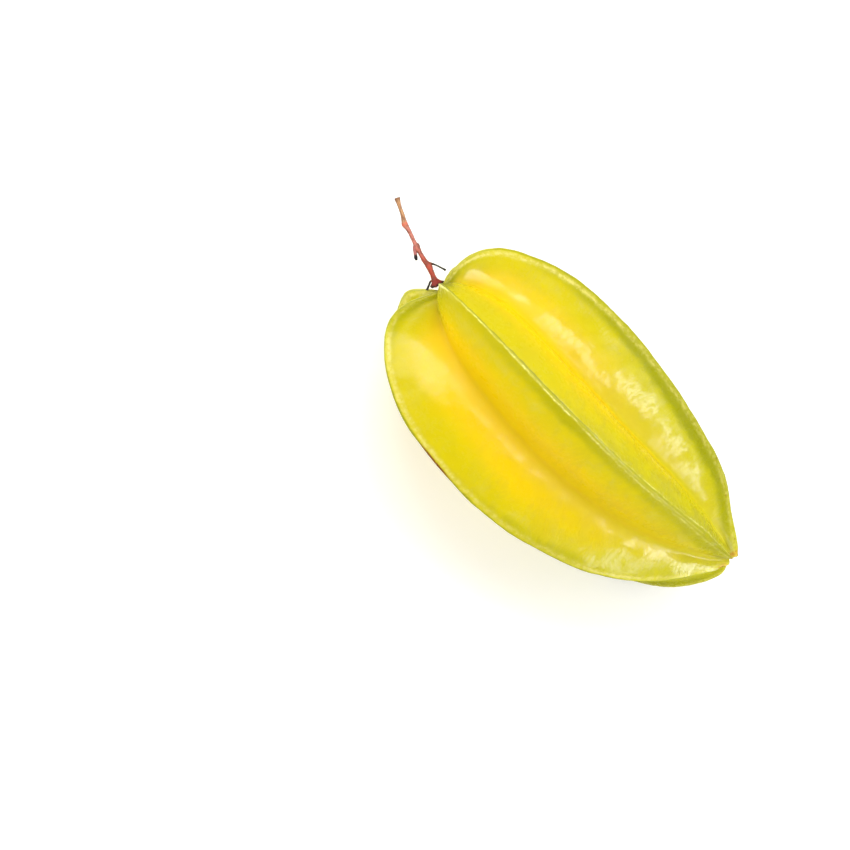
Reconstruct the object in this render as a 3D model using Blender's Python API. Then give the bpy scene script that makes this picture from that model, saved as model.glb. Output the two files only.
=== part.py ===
"""Star fruit with its stem, lying on two of its five ribs.

Metres, +Z up. X runs along the fruit from the stem to the blossom tip, and one rib points up.
The origin is at the bottom centre of the whole part.
"""
import math

import bmesh
import bpy
import numpy as np
from mathutils import Euler, Matrix, Vector

MM = 0.001

# The fruit
FRUIT_LENGTH = 118.0 * MM
RIB_RADIUS = 35.0 * MM
VALLEY_RADIUS = 20.0 * MM
AXIS_BOW = 6.0 * MM            # how far the middle of the axis bends sideways
BOW_SKEW = 1.1                 # above 1 the bend is deepest past the middle, towards the tip
FLANK_SWELL = 0.09             # how far a flank bulges, as a share of its width
SWELL_LEAN = 0.5               # above 0 the bulge is fullest near the valley
CREST_FLAT = 0.6 * MM          # how much of the sharp crest is rounded off
VALLEY_FILL = 0.5 * MM         # how much of the sharp valley is filled
EDGE_WIDTH = 2.5 * MM          # how far from crest and valley that rounding reaches

# How it lies, turned about X and then about Y
REST_ROLL = math.radians(8.5)
REST_PITCH = math.radians(1.5)

# The mesh
FLANK_STEPS = 7                # faces across one flank, two flanks to a rib
RINGS = 42                     # faces from the stem end to the tip

# Outlines as (share of the length, share of the radius), from the stem's pit to the blossom tip.
# Each rib has its own: the angle is measured from the top rib's side of the upright towards +Y.
STEM_PIT = (0.013, 0.0)
TIP_PIT = (0.983, 0.0)
RIBS = (
    ("top", 7, (
        (-0.009, 0.26), (-0.014, 0.46), (0.014, 0.66), (0.075, 0.81), (0.178, 0.94), (0.314, 0.99),
        (0.458, 0.985), (0.602, 0.90), (0.729, 0.76), (0.839, 0.56), (0.920, 0.31), (0.984, 0.07))),
    ("right", 78, (
        (-0.002, 0.26), (0.009, 0.44), (0.048, 0.62), (0.112, 0.76), (0.203, 0.90), (0.322, 0.98),
        (0.458, 0.98), (0.593, 0.895), (0.720, 0.755), (0.831, 0.56), (0.922, 0.30), (0.992, 0.08))),
    ("lower_right", 149, (
        (0.008, 0.24), (0.013, 0.42), (0.037, 0.62), (0.098, 0.79), (0.186, 0.94), (0.322, 1.0),
        (0.458, 0.995), (0.602, 0.92), (0.737, 0.79), (0.856, 0.59), (0.936, 0.33), (0.990, 0.06))),
    ("lower_left", 228, (
        (-0.036, 0.22), (-0.029, 0.40), (0.007, 0.61), (0.068, 0.79), (0.169, 0.93), (0.305, 0.995),
        (0.458, 1.0), (0.619, 0.965), (0.763, 0.915), (0.881, 0.83), (0.965, 0.61), (1.003, 0.25))),
    ("left", 294, (
        (-0.031, 0.30), (-0.037, 0.54), (-0.004, 0.75), (0.059, 0.91), (0.161, 1.025), (0.297, 1.055),
        (0.458, 1.03), (0.610, 0.937), (0.737, 0.81), (0.847, 0.62), (0.932, 0.35), (0.988, 0.09))),
)
VALLEY = (
    (0.025, 0.30), (0.047, 0.48), (0.081, 0.68), (0.136, 0.86), (0.220, 0.975), (0.331, 1.015),
    (0.458, 1.0), (0.593, 0.93), (0.720, 0.79), (0.822, 0.58), (0.907, 0.32), (0.972, 0.07))
STEM_TWIST = {"top": -4.5}      # how far a rib's stem end is turned from its own angle, in degrees
VALLEY_DEPTHS = (0.94, 1.0, 1.0, 1.0, 1.06)   # radius of the valley after each rib, as a share

# The stem from its cut end to the calyx, and its side stalks from their roots, all in the plane of X and Y
# at the stem's pit: (along, sideways, radius) in millimetres
STEM = (
    (-25.5, 10.7, 0.85), (-23.3, 9.4, 0.56), (-21.1, 8.2, 0.60), (-19.0, 6.9, 0.76), (-16.3, 6.0, 0.60),
    (-13.3, 4.8, 0.56), (-11.9, 4.3, 0.78), (-10.4, 3.8, 0.62), (-7.9, 3.0, 0.66), (-5.9, 2.6, 0.85),
    (-4.5, 2.1, 0.86), (-3.2, 1.5, 0.74), (-2.1, 1.0, 0.82))
SIDE_STALKS = (
    ("side_stalk_upper", ((-11.6, 2.9, 0.36), (-10.7, 2.4, 0.40), (-10.1, 1.9, 0.50), (-9.4, 1.4, 0.40))),
    ("side_stalk_lower", ((-4.9, 4.1, 0.32), (-3.8, 4.6, 0.24), (-2.6, 4.9, 0.26), (-1.2, 5.1, 0.34))),
    ("side_stalk_base", ((-2.5, -0.5, 0.26), (-2.1, -1.5, 0.28), (-1.5, -2.9, 0.40))),
)
STALK_SIDES = 8
CALYX_BASE = Vector((-0.1, 0.1, 0.0)) * MM
CALYX_TOP = Vector((-1.75, 0.75, 0.0)) * MM
CALYX_TOP_RADIUS = 0.85 * MM
SEPAL_REACH = 1.75 * MM         # from the middle to the point of a sepal
SEPAL_NOTCH = 1.15 * MM         # from the middle to the notch between two sepals
SEPALS = 5

SKIN = ("skin", (0.80, 0.74, 0.10, 1.0), 0.35)
BARK = ("bark", (0.62, 0.22, 0.13, 1.0), 0.7)
DRIED = ("dried_stalk", (0.03, 0.022, 0.02, 1.0), 0.8)
SEPAL = ("sepal", (0.38, 0.08, 0.05, 1.0), 0.75)


def clear_scene():
    for item in list(bpy.data.objects):
        bpy.data.objects.remove(item, do_unlink=True)


def material(name, colour, roughness):
    found = bpy.data.materials.new(name)
    found.use_nodes = True
    shader = found.node_tree.nodes["Principled BSDF"]
    shader.inputs["Base Color"].default_value = colour
    shader.inputs["Roughness"].default_value = roughness
    shader.inputs["Metallic"].default_value = 0.0
    return found


def smooth_point(points, share):
    """The point at share (0 to 1) along a smooth curve through evenly counted points."""
    last = len(points) - 1
    place = min(max(share, 0.0), 1.0) * last
    first = min(int(place), last - 1)
    blend = place - first
    near, far = points[first], points[first + 1]
    before = points[first - 1] if first > 0 else 2 * near - far
    after = points[first + 2] if first + 2 <= last else 2 * far - near
    return 0.5 * (2 * near + (far - before) * blend
                  + (2 * before - 5 * near + 4 * far - after) * blend ** 2
                  + (3 * near - before - 3 * far + after) * blend ** 3)


def outline(pairs, radius):
    """A rib's or valley's outline in metres, closed to the pit and the tip."""
    return [np.array((along * FRUIT_LENGTH, out * radius)) for along, out in (STEM_PIT, *pairs, TIP_PIT)]


def on_fruit(along, out, angle, twist=0.0):
    """A point at a distance along and out from the bowed axis. The twist is spent by half the length."""
    share = min(max(along / FRUIT_LENGTH, 0.0), 1.0)
    bow = AXIS_BOW * math.sin(math.pi * share ** BOW_SKEW)
    turned = angle + twist * max(1 - 2 * share, 0.0) ** 1.5
    return Vector((along, out * math.sin(turned) - bow, out * math.cos(turned)))


def flank_point(share, across, crest, valley, crest_angle, twist, valley_angle):
    """A point on a flank, from the valley (across 0) to the crest (across 1)."""
    foot = on_fruit(*smooth_point(valley, share), valley_angle)
    top = on_fruit(*smooth_point(crest, share), crest_angle, twist)
    chord = top - foot
    width = chord.length
    if width < 1e-6:
        return top
    outward = Vector((1, 0, 0)).cross(chord).normalized()
    if outward.dot(Vector((0, math.sin(crest_angle), math.cos(crest_angle)))) < 0:
        outward.negate()
    swell = 4 * FLANK_SWELL * width * across * (1 - across) * (1 + SWELL_LEAN * (0.5 - across))
    from_crest = (1 - across) * width / EDGE_WIDTH
    from_valley = across * width / EDGE_WIDTH
    fade = min(width / (4 * EDGE_WIDTH), 1.0)
    middle = on_fruit(top.x, 0.0, 0.0)
    radial = (top - middle).normalized()
    rounding = VALLEY_FILL * math.exp(-from_valley ** 2) - CREST_FLAT * math.exp(-from_crest ** 2)
    return foot + chord * across + outward * swell + radial * rounding * fade


def skin_point(share, turn):
    """A point on the skin: share from the stem's pit to the tip, turn (0 to 5) in ribs from the top rib."""
    rib = round(turn) % len(RIBS)
    side = 1 if turn >= round(turn) else -1
    beside = (rib + side) % len(RIBS)
    across = 1 - 2 * abs(turn - round(turn))
    crest_angle = math.radians(RIBS[rib][1])
    beside_angle = math.radians(RIBS[beside][1])
    gap = (beside_angle - crest_angle + math.pi) % math.tau - math.pi
    depth = VALLEY_DEPTHS[rib if side > 0 else beside]
    crest = outline(RIBS[rib][2], RIB_RADIUS)
    valley = outline(VALLEY, VALLEY_RADIUS * depth)
    twist = math.radians(STEM_TWIST.get(RIBS[rib][0], 0.0))
    return flank_point(share, across, crest, valley, crest_angle, twist, crest_angle + gap / 2)


def make_fruit(collection):
    """The fruit: a sphere whose rings become the five-ribbed sections, its meridians the ribs' outlines."""
    shape = bmesh.new()
    around = 2 * FLANK_STEPS * len(RIBS)
    bmesh.ops.create_uvsphere(shape, u_segments=around, v_segments=RINGS, radius=1.0)
    for vertex in shape.verts:
        share = math.acos(min(max(vertex.co.z, -1.0), 1.0)) / math.pi
        # The sphere's meridians start half a step from its X axis.
        step = math.floor(math.atan2(vertex.co.y, vertex.co.x) / math.tau * around) % around
        vertex.co = skin_point(share, step * len(RIBS) / around)
    mesh = bpy.data.meshes.new("fruit")
    shape.to_mesh(mesh)
    shape.free()
    mesh.shade_smooth()
    mesh.set_sharp_from_angle(angle=math.radians(50))
    fruit = bpy.data.objects.new("fruit", mesh)
    mesh.materials.append(material(*SKIN))
    collection.objects.link(fruit)
    return fruit


def make_stalk(collection, name, points, finish):
    """A thin round stalk through the given points, thicker and thinner as they say."""
    curve = bpy.data.curves.new(name, "CURVE")
    curve.dimensions = "3D"
    curve.bevel_depth = MM
    curve.bevel_resolution = STALK_SIDES // 4
    curve.use_fill_caps = True
    spline = curve.splines.new("POLY")
    spline.points.add(len(points) - 1)
    for point, (along, sideways, radius) in zip(spline.points, points):
        point.co = (along * MM, sideways * MM, 0.0, 1.0)
        point.radius = radius
    curve.materials.append(material(*finish))
    stalk = bpy.data.objects.new(name, curve)
    collection.objects.link(stalk)
    return stalk


def make_calyx(collection):
    """What is left of the calyx: a low cone whose rim is drawn out into five sepals."""
    shape = bmesh.new()
    axis = CALYX_TOP - CALYX_BASE
    bmesh.ops.create_cone(shape, cap_ends=True, segments=2 * SEPALS, radius1=SEPAL_REACH,
                          radius2=CALYX_TOP_RADIUS, depth=axis.length)
    for vertex in shape.verts:
        step = math.atan2(vertex.co.y, vertex.co.x) / math.pi * SEPALS
        if vertex.co.z < 0 and math.floor(step + 0.25) % 2:
            vertex.co.xy = vertex.co.xy.normalized() * SEPAL_NOTCH
    turn = axis.to_track_quat("Z", "Y").to_matrix().to_4x4()
    bmesh.ops.transform(shape, matrix=Matrix.Translation((CALYX_BASE + CALYX_TOP) / 2) @ turn,
                        verts=shape.verts)
    mesh = bpy.data.meshes.new("calyx")
    shape.to_mesh(mesh)
    shape.free()
    mesh.materials.append(material(*SEPAL))
    calyx = bpy.data.objects.new("calyx", mesh)
    collection.objects.link(calyx)
    return calyx


def world_points(pieces):
    """Every point of the pieces as they lie in the world."""
    bpy.context.view_layer.update()
    depsgraph = bpy.context.evaluated_depsgraph_get()
    for piece in pieces:
        shown = piece.evaluated_get(depsgraph)
        for vertex in shown.to_mesh().vertices:
            yield piece.matrix_world @ vertex.co
        shown.to_mesh_clear()


def lay_down(collection, pieces):
    """Turn the pieces together as they lie, with the bottom centre of the whole at the origin."""
    rest = bpy.data.objects.new("star_fruit", None)
    rest.empty_display_size = FRUIT_LENGTH / 4
    rest.rotation_euler = Euler((REST_ROLL, REST_PITCH, 0.0))
    collection.objects.link(rest)
    for piece in pieces:
        piece.parent = rest
    points = np.array([point[:] for point in world_points(pieces)])
    low, high = points.min(axis=0), points.max(axis=0)
    rest.location = (-(low[0] + high[0]) / 2, -(low[1] + high[1]) / 2, -low[2])


def main():
    clear_scene()
    collection = bpy.data.collections.new("star_fruit")
    bpy.context.scene.collection.children.link(collection)
    pieces = [make_fruit(collection), make_stalk(collection, "stem", STEM, BARK), make_calyx(collection)]
    for name, points in SIDE_STALKS:
        pieces.append(make_stalk(collection, name, points, DRIED))
    lay_down(collection, pieces)


main()
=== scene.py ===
"""The looks of a star fruit that lies on two of its five ribs: waxy skin, dry stem, calyx and side stalks.

Metres, +Z up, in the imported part's frame. The fruit is laid out along its own axis first: X from the stem's
pit to the blossom tip, Z through the top rib. Then every piece is turned and set down together.
"""

import math

import bmesh
import bpy
import numpy as np
from mathutils import Euler, Matrix, Vector


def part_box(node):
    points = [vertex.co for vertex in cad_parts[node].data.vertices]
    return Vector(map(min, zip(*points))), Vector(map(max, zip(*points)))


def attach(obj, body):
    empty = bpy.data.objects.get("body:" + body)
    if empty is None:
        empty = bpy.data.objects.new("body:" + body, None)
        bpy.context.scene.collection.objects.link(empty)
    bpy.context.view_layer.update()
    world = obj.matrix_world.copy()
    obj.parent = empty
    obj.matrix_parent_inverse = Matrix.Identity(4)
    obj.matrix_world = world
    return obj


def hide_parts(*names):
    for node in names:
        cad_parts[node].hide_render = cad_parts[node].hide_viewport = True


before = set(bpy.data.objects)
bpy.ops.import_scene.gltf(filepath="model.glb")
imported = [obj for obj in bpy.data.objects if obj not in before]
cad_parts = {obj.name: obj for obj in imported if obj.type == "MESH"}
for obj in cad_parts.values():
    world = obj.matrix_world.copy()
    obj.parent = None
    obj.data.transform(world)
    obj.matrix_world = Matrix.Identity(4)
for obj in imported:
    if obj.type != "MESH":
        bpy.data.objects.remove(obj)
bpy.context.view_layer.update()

MM = 0.001

# ------------------------------------------------------------ the fruit's shape
FRUIT_LENGTH = 118.0 * MM
RIB_RADIUS = 35.0 * MM
VALLEY_RADIUS = 20.0 * MM
AXIS_BOW = 6.0 * MM             # how far the middle of the axis bends sideways
BOW_SKEW = 1.1                  # above 1 the bend is deepest past the middle, towards the tip
REST_ROLL = math.radians(8.5)   # how it lies, turned about X and then about Y
REST_PITCH = math.radians(1.5)

# Outlines as (share of the length, share of the radius), from the stem's pit to the blossom tip. Each rib has
# its own angle, measured from the upright towards +Y.
STEM_PIT = (0.013, 0.0)
TIP_PIT = (0.983, 0.0)
RIBS = (
    ("top", 7, (
        (-0.009, 0.26), (-0.014, 0.46), (0.014, 0.66), (0.075, 0.81), (0.178, 0.94), (0.314, 0.99),
        (0.458, 0.985), (0.602, 0.90), (0.729, 0.76), (0.839, 0.56), (0.920, 0.31), (0.984, 0.07))),
    ("right", 78, (
        (-0.002, 0.26), (0.009, 0.44), (0.048, 0.62), (0.112, 0.76), (0.203, 0.90), (0.322, 0.98),
        (0.458, 0.98), (0.593, 0.895), (0.720, 0.755), (0.831, 0.56), (0.922, 0.30), (0.992, 0.08))),
    ("lower_right", 149, (
        (0.008, 0.24), (0.013, 0.42), (0.037, 0.62), (0.098, 0.79), (0.186, 0.94), (0.322, 1.0),
        (0.458, 0.995), (0.602, 0.92), (0.737, 0.79), (0.856, 0.59), (0.936, 0.33), (0.990, 0.06))),
    ("lower_left", 228, (
        (-0.036, 0.22), (-0.029, 0.40), (0.007, 0.61), (0.068, 0.79), (0.169, 0.93), (0.305, 0.995),
        (0.458, 1.0), (0.619, 0.965), (0.763, 0.915), (0.881, 0.83), (0.965, 0.61), (1.003, 0.25))),
    ("left", 294, (
        (-0.031, 0.30), (-0.037, 0.54), (-0.004, 0.75), (0.059, 0.91), (0.161, 1.025), (0.297, 1.055),
        (0.458, 1.03), (0.610, 0.937), (0.737, 0.81), (0.847, 0.62), (0.932, 0.35), (0.988, 0.09))),
)
VALLEY = (
    (0.025, 0.30), (0.047, 0.48), (0.081, 0.68), (0.136, 0.86), (0.220, 0.975), (0.331, 1.015),
    (0.458, 1.0), (0.593, 0.93), (0.720, 0.79), (0.822, 0.58), (0.907, 0.32), (0.972, 0.07))
STEM_TWIST = {"top": -4.5}      # how far a rib's stem end is turned from its own angle, in degrees
VALLEY_DEPTHS = (0.94, 1.0, 1.0, 1.0, 1.06)   # radius of the valley after each rib, as a share

# How each rib is finished, evenly from the stem to the tip. "rim" is half the width of its flat rim in
# millimetres. The pairs are strengths in tenths, on its flanks before and after the crest: the olive band
# beside the rim, partly painted shade where it is stronger on the top rib's flank before its crest, away from
# the light; the pale streak between the two, partly wax and partly painted highlight; the painted highlight
# line on the rim's edge; how green the flank is still; and the golden colour that spreads from the valley,
# strengthened as painted light in the valleys and on the top rib's flank before its crest. "spots" is one
# strength from 0 to 1 for the whole rib.
RIB_FINISH = {
    # Painted light and shade: the top rib's strong golden colour before its crest lightens that shaded flank,
    # and its olive band there is partly painted shade.
    "top": {
        "rim": (1.1, 0.8, 0.45, 0.45, 0.8, 1.1, 1.3, 1.1, 0.8), "spots": 0.15,
        "olive": ((7, 5.5, 3.5, 4.5, 7, 6, 6, 7, 5), (13, 11, 0, 0, 2, 3, 3, 5, 3)),
        "pale": ((8, 5, 0, 0, 0, 1, 1, 1, 3), (0, 0, 0, 1, 1, 1, 1, 1, 3)),
        "edge": ((9, 9, 11, 10, 8, 5, 4, 4, 3), (2, 1, 0, 0, 3, 5, 6, 6, 4)),
        "green": ((10, 8, 1, 0, 0, 3, 6, 9, 9), (10, 6, 0, 0, 1, 5, 8, 9, 10)),
        "gold": ((1, 3, 7, 9, 10, 10, 8, 4, 2), (1, 3, 6, 4, 7, 6, 3, 1, 1))},
    "right": {
        "rim": (1.1, 1.2, 1.3, 1.3, 1.2, 1.0, 1.0, 0.9, 0.7), "spots": 1.0,
        "olive": ((13, 5, 1, 6, 10, 12, 12, 8, 5), (2, 5, 7, 8, 9, 10, 9, 6, 3)),
        "pale": ((6, 12, 13, 10, 7, 5, 4, 4, 4), (5, 6, 6, 6, 5, 5, 5, 5, 4)),
        "edge": ((2, 2, 0, 0, 1, 1, 2, 2, 2), (2, 2, 2, 3, 4, 4, 4, 3, 2)),
        "green": ((10, 5, 1, 1, 5, 8, 9, 9, 10), (10, 6, 3, 2, 3, 5, 8, 9, 10)),
        "gold": ((1, 3, 5, 5, 6, 5, 3, 1, 1), (2, 3, 5, 6, 6, 5, 4, 2, 1))},
    "lower_right": {
        "rim": (0.9, 0.9, 1.0, 1.0, 1.1, 1.1, 1.1, 0.9, 0.7), "spots": 0.4,
        "olive": ((3, 6, 8, 9, 10, 9, 8, 6, 3), (2, 5, 6, 8, 8, 9, 9, 7, 3)),
        "pale": ((6, 6, 5, 4, 4, 5, 6, 5, 4), (6, 7, 6, 5, 4, 4, 5, 5, 4)),
        "edge": ((2, 2, 2, 3, 5, 6, 5, 4, 2), (2, 3, 4, 5, 6, 6, 5, 4, 2)),
        "green": ((10, 6, 3, 2, 2, 4, 6, 9, 10), (10, 7, 3, 2, 2, 4, 7, 9, 10)),
        "gold": ((2, 4, 7, 9, 8, 6, 4, 2, 1), (2, 3, 5, 7, 9, 7, 5, 2, 1))},
    # Painted shade: this rib's olive and green grow strong towards the tip, where it lies in shadow under the
    # left rib.
    "lower_left": {
        "rim": (0.9, 0.9, 0.9, 1.0, 1.1, 1.1, 1.0, 0.9, 0.7), "spots": 0.4,
        "olive": ((2, 4, 7, 8, 7, 8, 10, 10, 5), (3, 5, 6, 7, 9, 11, 12, 10, 4)),
        "pale": ((6, 6, 6, 5, 5, 4, 4, 4, 4), (5, 6, 5, 4, 4, 5, 4, 3, 4)),
        "edge": ((2, 3, 5, 6, 6, 6, 4, 3, 2), (2, 2, 3, 4, 5, 6, 3, 2, 2)),
        "green": ((10, 7, 3, 2, 3, 6, 9, 10, 10), (10, 7, 3, 2, 4, 8, 12, 12, 10)),
        "gold": ((2, 4, 8, 9, 8, 7, 5, 2, 1), (2, 3, 6, 8, 8, 6, 2, 1, 1))},
    "left": {
        "rim": (0.9, 0.8, 0.8, 0.9, 0.9, 0.9, 0.8, 0.8, 0.7), "spots": 0.3,
        "olive": ((3, 6, 8, 8, 8, 8, 7, 5, 3), (9, 8, 3, 2, 4, 6, 2, 1, 2)),
        "pale": ((5, 6, 6, 5, 5, 4, 4, 4, 4), (3, 4, 9, 9, 6, 4, 7, 4, 1)),
        "edge": ((2, 3, 4, 5, 5, 5, 4, 3, 2), (2, 1, 0, 0, 0, 1, 3, 3, 2)),
        "green": ((10, 6, 3, 2, 2, 4, 6, 9, 10), (10, 5, 0, 0, 1, 4, 8, 9, 10)),
        "gold": ((2, 4, 7, 9, 8, 6, 4, 2, 1), (0, 1, 5, 8, 9, 9, 5, 2, 1))},
}
# Dried knobs at the blossom tip: (place, height, reach) in millimetres.
TIP_KNOBS = (
    ((117.6, 3.2, 0.8), 0.7, 1.1),        # at the end of the right rib
    ((116.9, -4.2, 1.8), 0.6, 1.3),       # at the end of the left rib
    ((116.2, 0.6, 1.6), 0.5, 0.8),        # at the end of the top rib
)
BRUISE = ("left", 31.0 * MM, 6.0 * MM)        # the rib whose rim is bruised, where along it and how far

# The stem from its cut end to the calyx, and its side stalks from their roots, in the plane of X and Y at the
# stem's pit: (along, sideways, radius) in millimetres.
STEM = (
    (-25.5, 10.7, 0.85), (-23.3, 9.4, 0.56), (-21.1, 8.2, 0.60), (-19.0, 6.9, 0.76), (-16.3, 6.0, 0.60),
    (-13.3, 4.8, 0.56), (-11.9, 4.3, 0.78), (-10.4, 3.8, 0.62), (-7.9, 3.0, 0.66), (-5.9, 2.6, 0.85),
    (-4.5, 2.1, 0.80), (-3.2, 1.5, 0.72), (-2.1, 1.0, 0.84), (-1.2, 0.6, 0.9))
SIDE_STALKS = (
    ("side_stalk_upper", ((-12.6, 4.1, 0.45), (-12.0, 3.5, 0.55), (-11.2, 2.8, 0.50), (-10.5, 2.25, 0.50),
                          (-9.9, 1.8, 0.52), (-9.4, 1.4, 0.30))),
    ("side_stalk_lower", ((-6.5, 3.0, 0.50), (-5.8, 3.5, 0.36), (-4.9, 3.95, 0.27), (-3.8, 4.35, 0.24),
                          (-2.5, 4.7, 0.24), (-1.3, 5.0, 0.34))),
    ("side_stalk_base", ((-2.1, 0.6, 0.30), (-2.3, -0.4, 0.27), (-2.0, -1.2, 0.28), (-1.65, -2.1, 0.34),
                         (-1.35, -2.8, 0.44))),
)
CALYX_BASE = Vector((-0.1, 0.1, 0.0)) * MM
CALYX_TOP = Vector((-2.2, 1.0, 0.0)) * MM


# ------------------------------------------------------------------- node maths
class Wire:
    """An output socket of a node. Python's operators on it add maths nodes to the same tree."""

    def __init__(self, tree, socket):
        self.tree = tree
        self.socket = socket

    def __add__(self, other):
        return self.tree.maths("ADD", self, other)

    def __radd__(self, other):
        return self.tree.maths("ADD", other, self)

    def __sub__(self, other):
        return self.tree.maths("SUBTRACT", self, other)

    def __rsub__(self, other):
        return self.tree.maths("SUBTRACT", other, self)

    def __mul__(self, other):
        return self.tree.maths("MULTIPLY", self, other)

    def __rmul__(self, other):
        return self.tree.maths("MULTIPLY", other, self)

    def __truediv__(self, other):
        return self.tree.maths("DIVIDE", self, other)

    def __rtruediv__(self, other):
        return self.tree.maths("DIVIDE", other, self)

    def __pow__(self, other):
        return self.tree.maths("POWER", self, other)

    def __neg__(self):
        return self.tree.maths("MULTIPLY", self, -1.0)

    def is_vector(self):
        return self.socket.type == "VECTOR"

    def output(self, name):
        """Another output of the same node."""
        return Wire(self.tree, self.socket.node.outputs[name])

    def rise(self, low, high):
        """0 below low, 1 above high and smooth between them."""
        return self.tree.node("ShaderNodeMapRange", {"interpolation_type": "SMOOTHSTEP"},
                              {"Value": self, "From Min": low, "From Max": high})

    def bell(self, centre, width):
        """1 at the centre, falling smoothly to both sides over the width."""
        return self.tree.maths("EXPONENT", -(((self - centre) / width) ** 2))

    def limited(self):
        """Kept between 0 and 1."""
        return self.tree.node("ShaderNodeClamp", {}, {"Value": self})


class Tree:
    """The nodes of a material or of a geometry tree."""

    def __init__(self, nodes):
        self.nodes = nodes

    def node(self, kind, settings=None, sockets=None, output=0):
        """Adds a node: its settings are made first, then its sockets take values or wires."""
        made = self.nodes.nodes.new(kind)
        for name, value in (settings or {}).items():
            if name == "stops":
                set_stops(made.color_ramp, value)
            else:
                setattr(made, name, value)
        for name, value in (sockets or {}).items():
            socket = made.inputs[name]
            if isinstance(name, str) and not socket.enabled:
                socket = next(other for other in made.inputs if other.enabled and other.name == name)
            if isinstance(value, Wire):
                self.nodes.links.new(value.socket, socket)
            else:
                socket.default_value = value
        return Wire(self, made.outputs[output])

    def maths(self, operation, *values):
        """A Vector Math node if any of the values is a vector, and a Math node otherwise."""
        if any(isinstance(value, (tuple, Vector)) or isinstance(value, Wire) and value.is_vector()
               for value in values):
            filled = [(value,) * 3 if isinstance(value, (int, float)) else value for value in values]
            return self.node("ShaderNodeVectorMath", {"operation": operation}, dict(enumerate(filled)))
        return self.node("ShaderNodeMath", {"operation": operation}, dict(enumerate(values)))

    def measure(self, operation, *values):
        """The number that a Vector Math node works out, such as a length."""
        return self.node("ShaderNodeVectorMath", {"operation": operation}, dict(enumerate(values)), "Value")

    def mix(self, first, second, share):
        """From the first colour to the second. The node's third output is its colour."""
        sockets = {"Factor": share, "A": first, "B": second}
        return self.node("ShaderNodeMix", {"data_type": "RGBA"}, sockets, 2)

    def attribute(self, name):
        """A number stored on the piece's mesh, in a material."""
        return self.node("ShaderNodeAttribute", {"attribute_name": name}, {}, "Fac")

    def place(self):
        """A point's own place on the piece, in a material."""
        return self.node("ShaderNodeTexCoord", {}, {}, "Object")

    def noise(self, place, size, detail=2.0, roughness=0.5, distortion=0.0):
        """Soft random variation from 0 to 1 whose blotches are about one size across."""
        return self.node("ShaderNodeTexNoise", {}, {
            "Vector": place, "Scale": 1.0 / size, "Detail": detail, "Roughness": roughness,
            "Distortion": distortion})

    def parts(self, vector):
        """The X, Y and Z of a vector."""
        apart = self.node("ShaderNodeSeparateXYZ", {}, {0: vector})
        return apart, apart.output("Y"), apart.output("Z")

    def joined(self, x, y, z):
        return self.node("ShaderNodeCombineXYZ", {}, {"X": x, "Y": y, "Z": z})


def set_stops(ramp, stops):
    """A ramp's stops as (position, colour)."""
    while len(ramp.elements) < len(stops):
        ramp.elements.new(1.0)
    for element, (position, colour) in zip(ramp.elements, stops):
        element.position = position
        element.color = colour


def paint(red, green, blue):
    """A colour given as it looks, 0 to 255, in the linear values that shaders take."""
    return (*(((part / 255 + 0.055) / 1.055) ** 2.4 if part > 10 else part / 255 / 12.92
              for part in (red, green, blue)), 1.0)


class GeometryTree(Tree):
    """A Geometry Nodes tree with named inputs, and the numbers to give them."""

    def __init__(self, name):
        super().__init__(bpy.data.node_groups.new(name, "GeometryNodeTree"))
        self.given = {}
        self.nodes.interface.new_socket("Geometry", in_out="INPUT", socket_type="NodeSocketGeometry")
        self.nodes.interface.new_socket("Geometry", in_out="OUTPUT", socket_type="NodeSocketGeometry")
        self.entry = self.nodes.nodes.new("NodeGroupInput")

    def input(self, name, value, kind="NodeSocketFloat"):
        """A named input of the tree, with the value that the piece gives it."""
        socket = self.nodes.interface.new_socket(name, in_out="INPUT", socket_type=kind)
        self.given[socket.identifier] = value
        return Wire(self, self.entry.outputs[name])

    def geometry(self):
        return Wire(self, self.entry.outputs["Geometry"])

    def sampled(self, source, value, index, kind="FLOAT"):
        """A value read from the source's point with that index."""
        return self.node("GeometryNodeSampleIndex", {"data_type": kind},
                         {"Geometry": source, "Value": value, "Index": index})

    def stored(self, name, kind="FLOAT"):
        return self.node("GeometryNodeInputNamedAttribute", {"data_type": kind}, {"Name": name})

    def keep(self, geometry, name, value):
        """Stores a number on every point, for the material to read."""
        return self.node("GeometryNodeStoreNamedAttribute", {"data_type": "FLOAT"},
                         {"Geometry": geometry, "Name": name, "Value": value})

    def swells(self, here, size, seed, detail=1.0):
        """Soft ups and downs from -1 to 1, about one size across."""
        noise = self.node("ShaderNodeTexNoise", {"noise_dimensions": "4D"}, {
            "Vector": here, "W": seed, "Scale": 1.0 / size, "Detail": detail})
        return (noise - 0.5) * 2

    def distance(self, here, centre):
        """How far a point is from a place that is given in millimetres."""
        return self.measure("LENGTH", here - tuple(part * MM for part in centre))

    def finish(self, geometry, material):
        """The tree's last nodes: smooth shading, real faces and the material."""
        smooth = self.node("GeometryNodeSetShadeSmooth", {}, {"Geometry": geometry})
        real = self.node("GeometryNodeRealizeInstances", {}, {"Geometry": smooth})
        done = self.node("GeometryNodeSetMaterial", {}, {"Geometry": real, "Material": material})
        leave = self.nodes.nodes.new("NodeGroupOutput")
        self.nodes.links.new(done.socket, leave.inputs["Geometry"])

    def grow(self, name, guide):
        """The tree's result on a guide mesh, as a plain mesh object of that name."""
        holder = bpy.data.objects.new(name, guide)
        bpy.context.scene.collection.objects.link(holder)
        modifier = holder.modifiers.new(self.nodes.name, "NODES")
        modifier.node_group = self.nodes
        for identifier, value in self.given.items():
            modifier[identifier] = value
        depsgraph = bpy.context.evaluated_depsgraph_get()
        mesh = bpy.data.meshes.new_from_object(holder.evaluated_get(depsgraph))
        holder.modifiers.remove(modifier)
        holder.data = mesh
        bpy.data.meshes.remove(guide)
        mesh.name = name
        return holder


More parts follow.
